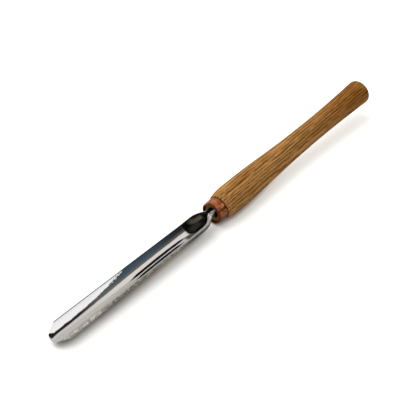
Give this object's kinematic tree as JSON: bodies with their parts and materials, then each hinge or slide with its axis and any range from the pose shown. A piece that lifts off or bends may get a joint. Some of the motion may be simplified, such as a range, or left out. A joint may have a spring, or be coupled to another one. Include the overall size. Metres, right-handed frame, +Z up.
{
  "type": "spindle gouge",
  "caption": "Woodturning spindle gouge: forged fluted steel blade with swept-back nose, copper ferrule and turned hardwood handle, lying on a bench with the flute up.",
  "frame": {"origin": "on the bench, under the middle of the tool's bounding box", "axes": "+X along the tool from the nose to the butt of the handle, +Y across it, +Z up from the bench; the tool rests on the bulge of its handle and on the underside of its nose, with the flute open upwards"},
  "size_m": [0.4528, 0.0292, 0.0407],
  "materials": {
    "steel": "ground and polished flute, dark forged scoop",
    "copper": "satin copper",
    "wood": "turned hardwood, waxed"
  },
  "bodies": {
    "root": {"gouge_blade": "steel", "ferrule": "copper", "handle": "wood"}
  },
  "joints": []
}
